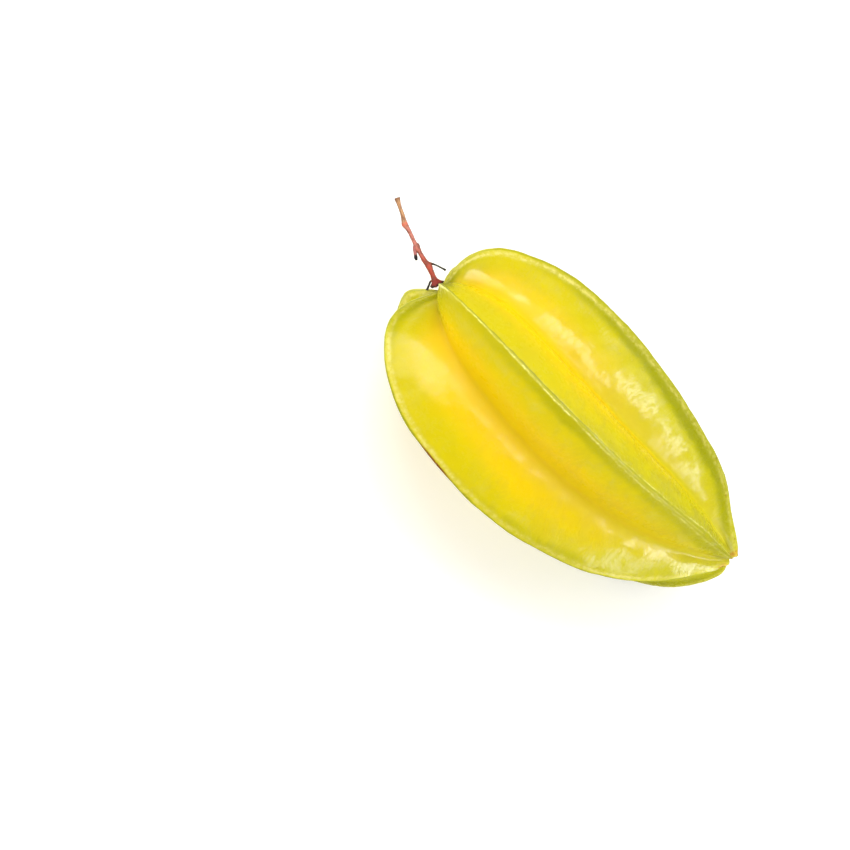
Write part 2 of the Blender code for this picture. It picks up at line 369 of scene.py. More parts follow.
# ------------------------------------------------------------- fruit's outlines
def smooth_points(points, shares):
    """The points at shares (0 to 1) along a smooth curve through evenly counted points."""
    points = np.asarray(points, float)
    last = len(points) - 1
    place = np.clip(np.asarray(shares, float), 0.0, 1.0) * last
    first = np.minimum(place.astype(int), last - 1)
    blend = (place - first).reshape(-1, *[1] * (points.ndim - 1))
    padded = np.concatenate([[2 * points[0] - points[1]], points, [2 * points[-1] - points[-2]]])
    before, near, far, after = (padded[first + step] for step in range(4))
    return 0.5 * (2 * near + (far - before) * blend
                  + (2 * before - 5 * near + 4 * far - after) * blend ** 2
                  + (3 * near - before - 3 * far + after) * blend ** 3)


def outline(pairs, radius, shares):
    """A rib's or valley's outline in metres (along, out), closed to the pit and the tip."""
    points = [(along * FRUIT_LENGTH, out * radius) for along, out in (STEM_PIT, *pairs, TIP_PIT)]
    return smooth_points(points, shares)


def on_fruit(along, out, angle, twist=0.0):
    """Points at distances along and out from the bowed axis. The twist is spent by half the length."""
    share = np.clip(along / FRUIT_LENGTH, 0.0, 1.0)
    bow = AXIS_BOW * np.sin(np.pi * share ** BOW_SKEW)
    turned = angle + twist * np.clip(1 - 2 * share, 0.0, 1.0) ** 1.5
    return np.stack([along, out * np.sin(turned) - bow, out * np.cos(turned)], axis=1)


STATIONS = 321                  # points along every guide line
SIDED = ("olive", "pale", "edge", "green", "gold")    # the strengths that differ before and after a crest


def guide_lines():
    """The mesh that the skin is drawn over: five crest lines, then the valley after each of them."""
    shares = np.linspace(0.0, 1.0, STATIONS)
    angles = [math.radians(angle) for _, angle, _ in RIBS]
    places, outwards = [], []
    numbers = {name: [] for name in ("length_along", "rim_width", "rim_spots", "bruise")}
    numbers.update({name + side: [] for name in SIDED for side in ("_before", "_after")})
    for (name, _, pairs), angle in zip(RIBS, angles):
        line = outline(pairs, RIB_RADIUS, shares)
        points = on_fruit(line[:, 0], line[:, 1], angle, math.radians(STEM_TWIST.get(name, 0.0)))
        steps = np.linalg.norm(np.diff(points, axis=0), axis=1)
        places.append(points)
        outwards.append(np.tile((0.0, math.sin(angle), math.cos(angle)), (STATIONS, 1)))
        finish = RIB_FINISH[name]
        numbers["length_along"].append(np.concatenate([[0.0], np.cumsum(steps)]))
        numbers["rim_width"].append(smooth_points(finish["rim"], shares) * MM)
        numbers["rim_spots"].append(np.full(STATIONS, finish["spots"]))
        for kind in SIDED:
            for side, strengths in zip(("_before", "_after"), finish[kind]):
                numbers[kind + side].append(smooth_points(strengths, shares) / 10)
        rib, middle, reach = BRUISE
        numbers["bruise"].append(np.exp(-((points[:, 0] - middle) / reach) ** 4) * (name == rib))
    for number, depth in enumerate(VALLEY_DEPTHS):
        gap = (angles[(number + 1) % len(RIBS)] - angles[number]) % math.tau
        angle = angles[number] + gap / 2
        line = outline(VALLEY, VALLEY_RADIUS * depth, shares)
        places.append(on_fruit(line[:, 0], line[:, 1], angle))
        outwards.append(np.tile((0.0, math.sin(angle), math.cos(angle)), (STATIONS, 1)))
    guide = bpy.data.meshes.new("guide_lines")
    guide.from_pydata(np.concatenate(places).tolist(), [], [])
    outward = guide.attributes.new("outward", "FLOAT_VECTOR", "POINT")
    outward.data.foreach_set("vector", np.concatenate(outwards).ravel())
    empty = np.zeros(STATIONS * len(VALLEY_DEPTHS))
    for name, values in numbers.items():
        stored = guide.attributes.new(name, "FLOAT", "POINT")
        stored.data.foreach_set("value", np.concatenate([*values, empty]))
    return guide


# ----------------------------------------------------------------- fruit's skin
STEPS_PER_FLANK = 30


def skin_tree(finish):
    """Draws the ribbed skin over its guide lines: swelling flanks, rounded rimmed crests and soft valleys."""
    tree = GeometryTree("ribbed_skin")
    stations = tree.input("Stations", STATIONS, "NodeSocketInt")
    steps = tree.input("Steps per flank", STEPS_PER_FLANK, "NodeSocketInt")
    ribs = tree.input("Ribs", len(RIBS), "NodeSocketInt")
    crowding = tree.input("Crowding at crest and valley", 0.75)
    swell = tree.input("Flank swell", 0.10)
    lean = tree.input("Swell lean", 0.9)
    crest_round = tree.input("Crest rounding", 0.75 * MM)
    crest_foot = tree.input("Crest rounding reach", 5.0 * MM)
    valley_round = tree.input("Valley rounding", 3.0 * MM)
    valley_slope = tree.input("Valley slope", 0.92)
    rim_height = tree.input("Rim height", 0.07 * MM)
    rim_edge = tree.input("Rim edge width", 0.38 * MM)
    groove = tree.input("Groove depth", 0.05 * MM)
    dent_depth = tree.input("Dent depth", 0.55 * MM)
    dent_size = tree.input("Dent size", 19.0 * MM)
    dimple_depth = tree.input("Dimple depth", 0.28 * MM)
    dimple_size = tree.input("Dimple size", 7.5 * MM)
    ripple_depth = tree.input("Rim ripple depth", 0.35 * MM)
    ripple_size = tree.input("Rim ripple size", 9.0 * MM)
    seed = tree.input("Seed", 3.0)
    skin = tree.input("Skin", finish, "NodeSocketMaterial")
    guide = tree.geometry()

    # Where a grid point is: which station along, which rib, and how far from valley to crest.
    grid = tree.node("GeometryNodeMeshGrid", {}, {
        "Size X": 1.0, "Size Y": 1.0, "Vertices X": 2 * steps * ribs + 1, "Vertices Y": stations})
    around, along, _ = tree.parts(tree.node("GeometryNodeInputPosition"))
    station = tree.maths("ROUND", (along + 0.5) * (stations - 1))
    turn = (around + 0.5) * ribs
    rib = tree.maths("MINIMUM", tree.maths("FLOOR", turn + 1e-5), ribs - 1)
    within = turn - rib
    past_crest = tree.maths("GREATER_THAN", within, 0.5)
    ramp = 1 - tree.maths("ABSOLUTE", 2 * within - 1)
    across = ramp - crowding / math.tau * tree.maths("SINE", math.tau * ramp)
    valley = ribs + tree.maths("FLOORED_MODULO", rib - 1 + past_crest, ribs)
    crest_point = rib * stations + station
    valley_point = valley * stations + station

    # The flank between the two lines, and its swell.
    position = tree.node("GeometryNodeInputPosition")
    outward = tree.stored("outward", "FLOAT_VECTOR")
    crest = tree.sampled(guide, position, crest_point, "FLOAT_VECTOR")
    foot = tree.sampled(guide, position, valley_point, "FLOAT_VECTOR")
    crest_out = tree.sampled(guide, outward, crest_point, "FLOAT_VECTOR")
    valley_out = tree.sampled(guide, outward, valley_point, "FLOAT_VECTOR")
    chord = crest - foot
    width = tree.maths("MAXIMUM", tree.measure("LENGTH", chord), 1e-6)
    facing = tree.maths("NORMALIZE", tree.maths("CROSS_PRODUCT", (1.0, 0.0, 0.0), chord))
    facing = facing * tree.maths("SIGN", tree.measure("DOT_PRODUCT", facing, crest_out))
    bulge = 4 * swell * width * across * (1 - across) * (1 + lean * (0.5 - across))
    from_crest = (1 - across) * width
    from_valley = across * width

    # Crest and valley are rounded, and the rim has a raised edge with a groove outside it.
    end = tree.maths("MINIMUM", station, stations - 1 - station) / stations
    fade = end.rise(0.0, 0.12)
    rim = tree.sampled(guide, tree.stored("rim_width"), crest_point) * fade
    soft_crest = crest_round * fade
    soft_valley = valley_round * fade
    steepness = tree.measure("DOT_PRODUCT", chord, crest_out) / width
    crest_drop = steepness * (tree.maths("SQRT", from_crest ** 2 + soft_crest ** 2) - from_crest
                              - 0.6 * soft_crest * from_crest.bell(0.0, crest_foot))
    valley_lift = valley_slope * (tree.maths("SQRT", from_valley ** 2 + soft_valley ** 2) - from_valley
                                  - 0.5 * soft_valley * from_valley.bell(0.0, 2 * valley_round))
    crest_part = across.rise(0.0, 0.3)
    rim_profile = rim_height * from_crest.bell(rim, rim_edge) - groove * from_crest.bell(
        rim + 2 * rim_edge, rim_edge)
    shaped = (foot + chord * across + facing * bulge + valley_out * (valley_lift * (1 - crest_part))
              + crest_out * ((rim_profile * fade - crest_drop) * crest_part))

    # What the material reads is stored before the points move, because it is worked out from the flat grid.
    kept = {
        "across": across,
        "from_crest": from_crest,
        "share_along": station / (stations - 1),
        "length_along": tree.sampled(guide, tree.stored("length_along"), crest_point) + 0.31 * rib,
        "rim_width": rim,
        "rim_spots": tree.sampled(guide, tree.stored("rim_spots"), crest_point),
        "bruise": tree.sampled(guide, tree.stored("bruise"), crest_point),
        "after_crest": past_crest,
    }
    for kind in SIDED:
        before = tree.sampled(guide, tree.stored(kind + "_before"), crest_point)
        after = tree.sampled(guide, tree.stored(kind + "_after"), crest_point)
        kept[kind] = before + (after - before) * past_crest
    for name, value in kept.items():
        grid = tree.keep(grid, name, value)
    skin_shape = tree.node("GeometryNodeSetPosition", {}, {"Geometry": grid, "Position": shaped})

    # The seam and both ends close, and then the skin is dented where a real one is.
    closed = tree.node("GeometryNodeMergeByDistance", {}, {"Geometry": skin_shape, "Distance": 0.0001 * MM})
    normal = tree.node("GeometryNodeInputNormal")
    here = tree.node("GeometryNodeInputPosition")
    share = tree.stored("share_along")
    near_crest = tree.stored("from_crest").bell(0.0, 3.0 * MM)
    dents = tree.swells(here, dent_size, seed) * dent_depth
    dimples = tree.swells(here, dimple_size, seed + 5.0) * dimple_depth * (1 - near_crest)
    ripple = tree.swells(here, ripple_size, seed + 9.0) * ripple_depth * share.rise(0.15, 0.7)
    fine_ripple = tree.swells(here, 0.25 * ripple_size, seed + 14.0) * (0.4 * ripple_depth)
    raised = (dents + dimples + (ripple + fine_ripple) * near_crest) * share.rise(0.02, 0.12)
    dried = 0.0
    for centre, height, reach in TIP_KNOBS:
        away = tree.distance(here, centre)
        raised = raised + height * MM * away.bell(0.0, reach * MM)
        dried = dried + away.bell(0.0, 1.5 * reach * MM)
    browned = tree.keep(closed, "dried", dried)
    dented = tree.node("GeometryNodeSetPosition", {}, {"Geometry": browned, "Offset": normal * raised})
    tree.finish(dented, skin)
    return tree


# -------------------------------------------------------------------- materials
# The golden colour below is lighter than the skin's own: painted light for the shaded valleys.
GOLD_WITH_PAINTED_LIGHT = paint(236, 198, 0)
DEEP_GOLD = paint(218, 184, 0)
SUNNY = paint(234, 204, 8)
YELLOW = paint(213, 192, 0)
LIME = paint(201, 189, 8)
OLIVE = paint(150, 150, 0)
GREEN = paint(182, 180, 14)
BRIGHT_LIME = paint(222, 214, 40)
# The pale colour serves light dots and, in part, painted highlights beside the rims.
PALE = paint(218, 208, 112)
# A painted highlight colour for the rims' edges.
PAINTED_HIGHLIGHT_EDGE = paint(240, 236, 150)
DULL_LINE = paint(158, 156, 12)
DULL_EDGE = paint(112, 118, 30)
BROWN = paint(120, 70, 20)
ORANGE = paint(196, 142, 34)


def new_material(name, roughness, **constants):
    """A material, its tree and its shader, with the sockets that are the same all over it."""
    made = bpy.data.materials.new(name)
    made.use_nodes = True
    tree = Tree(made.node_tree)
    shader = made.node_tree.nodes["Principled BSDF"]
    shader.inputs["Roughness"].default_value = roughness
    for socket, value in constants.items():
        shader.inputs[socket.replace("_", " ")].default_value = value
    return made, tree, shader


def feed(tree, shader, socket, wire):
    tree.nodes.links.new(wire.socket, shader.inputs[socket])


def feed_relief(tree, shader, height):
    """Fine relief, as a height in millimetres."""
    bump = tree.node("ShaderNodeBump", {}, {"Strength": 1.0, "Distance": 1.0, "Height": height * MM})
    feed(tree, shader, "Normal", bump)


class SkinPoint:
    """What the skin's shader knows at a point: where on the rib it is, and soft noises of several sizes."""

    def __init__(self, tree):
        self.place = tree.place()
        self.across = tree.attribute("across")
        self.depth = tree.attribute("from_crest") / MM
        self.share = tree.attribute("share_along")
        self.rim = tree.attribute("rim_width") / MM
        self.after = tree.attribute("after_crest")
        self.spotted = tree.attribute("rim_spots")
        self.dried = tree.attribute("dried")
        self.broad = tree.noise(self.place, 24 * MM, 2.0)
        self.patches = tree.noise(self.place, 7 * MM, 3.0)
        self.fine = tree.noise(self.place, 1.3 * MM, 3.0)
        self.speckled = self.fine.rise(0.38, 0.62)
        length = tree.attribute("length_along") / MM
        self.along_streaks = tree.noise(tree.joined(length * 0.12, self.depth, 0.0), 1.2, 3.0)
        fanned = length + self.depth * (0.9 * (self.broad - 0.2)) + self.patches * 5.0
        self.cross_streaks = tree.noise(tree.joined(fanned, self.depth * 0.22, 0.0), 0.8, 4.0, 0.6, 0.6)
        wander = tree.noise(tree.joined(length, self.after * 40.0, 0.0), 4.0, 4.0)
        self.offset = self.depth + (wander - 0.5) * 1.5      # the depth that makes the rim's lines wavy


def flank_colour(tree, at):
    """From the valley's golden colour to the crest's lime, greener at both ends, and the olive band beside
    the rim.
    The golden colour is partly painted light, and the olive band partly painted shade.
    """
    # Painted light: the golden colour is lighter than the yellow and lime it meets, and is made strong in the
    # valleys and on the top rib's shaded flank.
    gold = tree.attribute("gold")
    ripeness = at.across + (at.broad - 0.5) * 0.45 + (at.patches - 0.5) * 0.15
    colour = tree.mix(SUNNY, GOLD_WITH_PAINTED_LIGHT, (gold * 1.2).limited())
    colour = tree.mix(colour, YELLOW, (ripeness / (0.35 + 0.5 * gold)).rise(0.2, 1.1))
    colour = tree.mix(colour, LIME, ripeness.rise(0.35, 0.95) * (1 - 0.5 * gold))
    colour = tree.mix(colour, DEEP_GOLD, (gold * 2 - 1.1).limited() * (1 - at.across.rise(0.15, 0.55)))
    green = tree.attribute("green") * (0.7 + 0.3 * at.patches) - 0.05
    colour = tree.mix(colour, GREEN, green.limited())

    # The olive band has a wavy inner border, partly painted shade where it is stronger on the top rib's flank
    #     # away from the light. Past it lie pale patches, partly rubbed wax and partly painted highlight.
    band = tree.attribute("olive")
    past_border = at.depth - (2.2 + 3.1 * band + (at.patches - 0.5) * 4.0 + (at.fine - 0.5) * 1.2)
    olive = (1 - past_border.rise(-1.8, 1.4)) * band
    colour = tree.mix(colour, OLIVE, (olive * 0.8).limited())
    # Painted highlight, in part: pale patches past the olive band.
    rubbed_and_highlight = past_border.bell(1.8, 1.7) * at.patches.rise(0.42, 0.60)
    rubbed_and_highlight = rubbed_and_highlight * (0.3 + at.cross_streaks.rise(0.35, 0.65)) * band
    colour = tree.mix(colour, PALE, (rubbed_and_highlight * 0.28).limited())
    mottled = tree.noise(at.place, 2.6 * MM, 4.0, 0.6)
    colour = tree.mix(colour, OLIVE, (mottled.rise(0.45, 0.7) * 0.1 * olive).limited())
    bright = (1 - mottled.rise(0.3, 0.5)) * 0.10 * (1 - 0.8 * olive)
    return tree.mix(colour, BRIGHT_LIME, bright.limited()), olive


def rim_colour(tree, at, colour, on_rim):
    """A dull line along the rim's top, a broken painted highlight line on its edge, and pale speckles beside
    it, partly wax and partly painted highlight.
    """
    edge = tree.attribute("edge")
    broken = 0.35 + 0.65 * at.along_streaks.rise(0.35, 0.6)
    # The pale streak beside the rim is partly wax and partly a painted highlight.
    streak = (at.offset - at.rim).bell(0.9, 0.75) * (0.4 + 0.7 * at.speckled) * (0.4 + 0.6 * broken)
    colour = tree.mix(colour, PALE, (streak * tree.attribute("pale") * 1.1).limited())
    # Near the stem the whole rim is painted bright as a highlight.
    shoulder_highlight = edge * (1 - at.share.rise(0.17, 0.25))
    outlined = 0.5 + 0.3 * at.after + 0.45 * at.spotted * (1 - at.share.rise(0.45, 0.6))
    dull = on_rim * outlined * (0.8 + 0.2 * at.speckled) * (1 - shoulder_highlight)
    colour = tree.mix(colour, DULL_LINE, dull.limited())
    folded = (at.spotted + 1 - at.share.rise(0.4, 0.6)).limited()
    fold = at.after * at.offset.bell(0.35, 0.28) * (1 - shoulder_highlight) * folded
    colour = tree.mix(colour, DULL_EDGE, (fold * 0.7).limited())
    # Painted highlight: a broken bright line along the rim's edge.
    line = (at.offset - at.rim).bell(0.0, 0.28) * broken * (0.4 + 0.6 * at.speckled)
    colour = tree.mix(colour, PAINTED_HIGHLIGHT_EDGE, (line * edge * 1.1).limited())
    return tree.mix(colour, PAINTED_HIGHLIGHT_EDGE, (on_rim * shoulder_highlight * (0.75 + 0.35 * at.speckled)).limited())


def marked_colour(tree, at, colour):
    """Light dots all over, brown specks on the spotted rims, the bruise and the dried knobs at the tip."""
    dots = tree.node("ShaderNodeTexVoronoi", {}, {"Vector": at.place, "Scale": 1 / (1.5 * MM)})
    colour = tree.mix(colour, PALE, (1 - dots.rise(0.10, 0.26)) * 0.07)
    specks = tree.node("ShaderNodeTexVoronoi", {}, {"Vector": at.place, "Scale": 1 / (2.2 * MM)})
    on_rib = at.spotted * at.share.rise(0.55, 0.9) * (1 - at.depth.rise(1.5, 5.0))
    speckable = on_rib + 0.12 * at.share.rise(0.8, 0.95)
    colour = tree.mix(colour, BROWN, ((1 - specks.rise(0.06, 0.2)) * speckable * 0.8).limited())
    sore = tree.attribute("bruise") * (1 - at.depth.rise(0.5, 1.3)) * at.fine.rise(0.25, 0.4)
    colour = tree.mix(colour, BROWN, (sore * 1.2).limited())
    colour = tree.mix(colour, ORANGE, (at.dried.rise(0.1, 0.6) * 0.8).limited())
    return tree.mix(colour, BROWN, (at.dried.rise(0.5, 0.9) * (0.4 + 0.5 * at.speckled)).limited())


def wax_weight(tree, at, olive, valley):
    """Where the wax shines: in one smooth patch near the stem, then in blotches with frayed edges."""
    blotches = tree.noise(at.place, 9.0 * MM, 3.0, 0.6).rise(0.38, 0.52) * at.share.rise(0.24, 0.36)
    blotches = blotches * (at.spotted + at.share.rise(0.4, 0.6)).limited()
    smooth_wax = (1 - at.share.rise(0.24, 0.40)) * at.across.bell(0.43, 0.22) * (0.25 + 0.75 * at.spotted)
    fibres = 1 - (0.85 - 0.6 * smooth_wax) * (1 - at.cross_streaks.rise(0.36, 0.58))
    waxed = (1 - valley) * (1 - 0.5 * olive) * (1 - at.dried.limited())
    return (blotches + smooth_wax * 1.1) * fibres * waxed


def skin_material():
    """Waxy star fruit skin, dull in the valleys and on its rims."""
    made, tree, shader = new_material(
        "waxy_skin", 0.30, Specular_IOR_Level=0.18, Subsurface_Weight=0.4,
        Subsurface_Radius=(1.0, 0.9, 0.10), Subsurface_Scale=0.008, Coat_Roughness=0.13, Coat_IOR=1.6)
    at = SkinPoint(tree)
    on_rim = 1 - (at.offset - 0.85 * at.rim).rise(-0.3, 0.3)
    valley = at.across.bell(0.0, 0.16)
    colour, olive = flank_colour(tree, at)
    colour = rim_colour(tree, at, colour, on_rim)
    feed(tree, shader, "Base Color", marked_colour(tree, at, colour))
    rough = 0.27 + (at.fine - 0.5) * 0.2 + (at.patches - 0.5) * 0.2
    rough = rough + on_rim * 0.1 + at.dried * 0.3 + valley * 0.4
    feed(tree, shader, "Roughness", rough.limited())
    feed(tree, shader, "Coat Weight", wax_weight(tree, at, olive, valley).limited())

    # The valleys are smooth, the flanks lumpy and finely streaked, and the rims rough.
    lumps = tree.noise(at.place, 10 * MM, 1.0)
    grain = tree.noise(at.place, 0.45 * MM, 2.0)
    relief = (grain - 0.5) * 0.004 + (at.fine - 0.5) * 0.018 + (at.patches - 0.5) * 0.3 + (lumps - 0.5) * 0.8
    streaked = at.across.rise(0.2, 0.5) * (0.25 + at.share.rise(0.4, 0.65))
    height = relief * at.across.rise(0.0, 0.3) + at.cross_streaks * 0.10 * streaked
    feed_relief(tree, shader, height + at.speckled * on_rim * 0.03)
    return made


TAN = paint(208, 158, 108)
SALMON = paint(208, 126, 108)
RED_BARK = paint(192, 84, 64)
DEEP_RED = paint(150, 42, 26)
DARK_BARK = paint(112, 62, 46)
BUD_RED = paint(226, 92, 64)
CHARRED = paint(30, 24, 24)
UMBER = paint(150, 92, 60)
SPUR_PINK = paint(176, 104, 100)
SEPAL_RED = paint(138, 42, 28)
SEPAL_EDGE = paint(58, 24, 16)


def bark_material():
    """Furrowed stem bark: tan at the cut end, salmon in the middle and deep red at the calyx, with painted
    shade down two sides.
    """
    made, tree, shader = new_material("stem_bark", 0.6, Specular_IOR_Level=0.3, Subsurface_Weight=0.1,
                                      Subsurface_Radius=(1.0, 0.4, 0.25), Subsurface_Scale=0.001)
    along = tree.attribute("share_along")
    round_place = tree.attribute("turn_around")
    furrows = tree.noise(tree.joined(along * 24, round_place * 9, 0.0), 1.6, 3.0)
    blotches = tree.noise(tree.place(), 1.6 * MM, 3.0)
    where = along + (blotches - 0.5) * 0.08
    colour = tree.node("ShaderNodeValToRGB", {"stops": (
        (0.0, paint(150, 108, 70)), (0.05, TAN), (0.24, TAN), (0.34, SALMON), (0.55, SALMON),
        (0.72, RED_BARK), (0.9, paint(190, 74, 52)), (1.0, DEEP_RED))}, {"Fac": where})
    colour = tree.mix(colour, DARK_BARK, (furrows.rise(0.45, 0.65) * 0.7).limited())
    # Painted shade: darker stripes down two opposite sides of the stem, standing in for its shaded edges.
    sides = round_place.bell(0.0, 0.13) + round_place.bell(0.5, 0.13) + round_place.bell(1.0, 0.13)
    colour = tree.mix(colour, DARK_BARK, (sides * (0.5 + blotches * 0.6)).limited())
    colour = tree.mix(colour, BUD_RED, along.bell(0.29, 0.018) * 0.5)
    feed(tree, shader, "Base Color", colour)
    feed_relief(tree, shader, furrows * -0.10 + blotches * 0.06)
    return made


def dried_material(name, root, fresh_until):
    """Side stalks that have dried nearly black past their fresh roots."""
    made, tree, shader = new_material(name, 0.72, Specular_IOR_Level=0.3)
    along = tree.attribute("share_along")
    blotches = tree.noise(tree.place(), 0.5 * MM, 3.0)
    dry = (along - fresh_until + (blotches - 0.5) * 0.3).rise(-0.08, 0.08)
    feed(tree, shader, "Base Color", tree.mix(root, CHARRED, dry))
    feed_relief(tree, shader, blotches * 0.12)
    return made


def sepal_material():
    """The dried calyx: red-brown in the middle, dark along the sepals' edges."""
    made, tree, shader = new_material("dried_sepal", 0.68, Specular_IOR_Level=0.3)
    reach = tree.attribute("share_along")
    blotches = tree.noise(tree.place(), 0.6 * MM, 3.0)
    browned = (reach + (blotches - 0.5) * 0.6).rise(0.35, 0.8)
    feed(tree, shader, "Base Color", tree.mix(SEPAL_RED, SEPAL_EDGE, browned))
    feed_relief(tree, shader, blotches * 0.15)
    return made


def floor_material():
    made, tree, shader = new_material("pale_floor", 0.85, Specular_IOR_Level=0.1, Emission_Strength=0.2,
                                      Emission_Color=(1.0, 1.0, 1.0, 1.0))
    shade = tree.noise(tree.place(), 0.4, 2.0)
    feed(tree, shader, "Base Color", tree.mix(paint(243, 243, 244), paint(246, 246, 246), shade))
    return made


# -------------------------------------------------------------- stem and stalks
def stalk_tree(finish, sides, rings, knots, seed):
    """A thin round stalk along its guide, as thick as the guide's points say, with lumps and knots."""
    tree = GeometryTree("stalk")
    count = tree.input("Rings", rings, "NodeSocketInt")
    around = tree.input("Sides", sides, "NodeSocketInt")
    lump = tree.input("Lump height", 0.10 * MM)
    lump_size = tree.input("Lump size", 1.3 * MM)
    seed_value = tree.input("Seed", seed)
    skin = tree.input("Finish", finish, "NodeSocketMaterial")
    path = tree.node("GeometryNodeMeshToCurve", {}, {"Mesh": tree.geometry()})
    path = tree.node("GeometryNodeCurveSplineType", {"spline_type": "CATMULL_ROM"}, {"Curve": path})
    path = tree.node("GeometryNodeResampleCurve", {}, {"Curve": path, "Count": count})
    factor = tree.node("GeometryNodeSplineParameter")
    path = tree.keep(path, "share_along", factor)
    ring = tree.node("GeometryNodeCurvePrimitiveCircle", {}, {"Resolution": around, "Radius": 1.0})
    ring = tree.keep(ring, "turn_around", tree.node("GeometryNodeSplineParameter"))
    tube = tree.node("GeometryNodeCurveToMesh", {}, {
        "Curve": path, "Profile Curve": ring, "Scale": tree.stored("thickness"), "Fill Caps": True})
    here = tree.node("GeometryNodeInputPosition")
    raised = tree.swells(here, lump_size, seed_value, 2.0) * lump
    for centre, height, reach in knots:
        raised = raised + height * MM * tree.distance(here, centre).bell(0.0, reach * MM)
    normal = tree.node("GeometryNodeInputNormal")
    lumpy = tree.node("GeometryNodeSetPosition", {}, {"Geometry": tube, "Offset": normal * raised})
    closed = tree.node("GeometryNodeMergeByDistance", {}, {"Geometry": lumpy, "Distance": 0.001 * MM})
    tree.finish(closed, skin)
    return tree


def make_stalk(name, points, finish, sides, rings, knots=(), seed=1.0):
    """A stalk through (along, sideways, radius) in millimetres."""
    guide = bpy.data.meshes.new(name + "_guide")
    places = [(along * MM, sideways * MM, 0.0) for along, sideways, _ in points]
    guide.from_pydata(places, [(step, step + 1) for step in range(len(places) - 1)], [])
    stored = guide.attributes.new("thickness", "FLOAT", "POINT")
    stored.data.foreach_set("value", [radius * MM for _, _, radius in points])
    return stalk_tree(finish, sides, rings, knots, seed).grow(name, guide)


# The stem's knots: (place, height, reach) in millimetres.
STEM_KNOTS = (
    ((-18.9, 6.2, 0.3), 0.32, 0.8),       # the knuckle, on its lower side
    ((-12.1, 4.9, 0.2), 0.25, 0.6),       # a bud scar above the upper side stalk
    ((-11.6, 3.5, 0.0), 0.30, 0.8),       # where the upper side stalk grew
    ((-5.6, 3.0, 0.0), 0.24, 0.8),        # where the lower side stalk grew
    ((-8.2, 2.6, 0.5), 0.12, 0.9),
)
SEPALS = 5
SEPAL_REACH = 2.3 * MM
SEPAL_NOTCH = 1.45 * MM
CALYX_TOP_RADIUS = 0.95 * MM
COLLAR_ROW = 0.08       # shares of the cup's rows: where the collar at the stem ends,
LIP_ROW = 0.55          # where the sepals' edge turns under,
HOLLOW_ROW = 0.62       # and where the underside is hollowest


def calyx_tree(finish):
    """A low five-pointed cup: a grid whose rows run from the stem over the sepals' edge and back under it."""
    tree = GeometryTree("sepal_cup")
    rows = tree.input("Rows", 41, "NodeSocketInt")
    sides = tree.input("Sides", 121, "NodeSocketInt")
    reach = tree.input("Sepal reach", SEPAL_REACH)
    notch = tree.input("Sepal notch", SEPAL_NOTCH)
    top = tree.input("Top radius", CALYX_TOP_RADIUS)
    height = tree.input("Height", (CALYX_TOP - CALYX_BASE).length)
    curl = tree.input("Sepal curl", 0.45 * MM)
    skin = tree.input("Finish", finish, "NodeSocketMaterial")
    grid = tree.node("GeometryNodeMeshGrid", {}, {
        "Size X": 1.0, "Size Y": 1.0, "Vertices X": sides, "Vertices Y": rows})
    u, v, _ = tree.parts(tree.node("GeometryNodeInputPosition"))
    angle = (u + 0.5) * math.tau
    row = v + 0.5
    point = 1 - tree.maths("ABSOLUTE", 2 * tree.maths("FRACT", (u + 0.5) * SEPALS) - 1)
    wobble = tree.node("ShaderNodeTexNoise", {}, {
        "Vector": tree.joined(tree.maths("SINE", angle), tree.maths("COSINE", angle), 0.0), "Scale": 1.7})
    edge = notch + (reach - notch) * point ** 1.4 * (0.75 + 0.5 * wobble)
    over = row.rise(0.0, LIP_ROW)
    back = row.rise(LIP_ROW, 1.0)
    lip = tree.maths("MINIMUM", row / LIP_ROW, 1.0)
    collar = tree.maths("MINIMUM", row / COLLAR_ROW, 1.0)
    radius = (top * collar * (1 - over) + edge * over) * (1 - back)
    level = height * (1 - lip ** 0.8) + curl * point * row.bell(LIP_ROW, 0.16)
    level = level - 0.25 * MM * row.bell(HOLLOW_ROW, 0.08)
    placed = tree.joined(radius * tree.maths("COSINE", angle), radius * tree.maths("SINE", angle), level)
    flat_grid = tree.keep(grid, "share_along", row.bell(LIP_ROW, 0.25) * (0.6 + 0.4 * point))
    cup = tree.node("GeometryNodeSetPosition", {}, {"Geometry": flat_grid, "Position": placed})
    closed = tree.node("GeometryNodeMergeByDistance", {}, {"Geometry": cup, "Distance": 0.001 * MM})
    tree.finish(closed, skin)
    return tree


# ------------------------------------------------------------- making the parts
def volume(mesh):
    """Positive where the faces point outwards."""
    shape = bmesh.new()
    shape.from_mesh(mesh)
    signed = shape.calc_volume(signed=True)
    shape.free()
    return signed


def make_pieces():
    """Every piece, still laid out along the fruit's own axis, by the CAD node that it stands for."""
    bark = bark_material()
    spur = dried_material("dried_spur", SPUR_PINK, fresh_until=0.62)
    dried = dried_material("dried_stalk", UMBER, fresh_until=0.2)
    pieces = {"fruit": skin_tree(skin_material()).grow("fruit_skin", guide_lines())}
    pieces["stem"] = make_stalk("stem_twig", STEM, bark, sides=40, rings=260, knots=STEM_KNOTS)
    for number, (name, points) in enumerate(SIDE_STALKS):
        finish = spur if name == "side_stalk_upper" else dried
        pieces[name] = make_stalk(name + "_twig", points, finish, sides=20, rings=60, seed=3.0 + number)
    calyx = calyx_tree(sepal_material()).grow("sepals", bpy.data.meshes.new("calyx_guide"))
    turn = (CALYX_TOP - CALYX_BASE).to_track_quat("Z", "Y").to_matrix().to_4x4()
    calyx.data.transform(Matrix.Translation(CALYX_BASE) @ turn)
    pieces["calyx"] = calyx
    return pieces


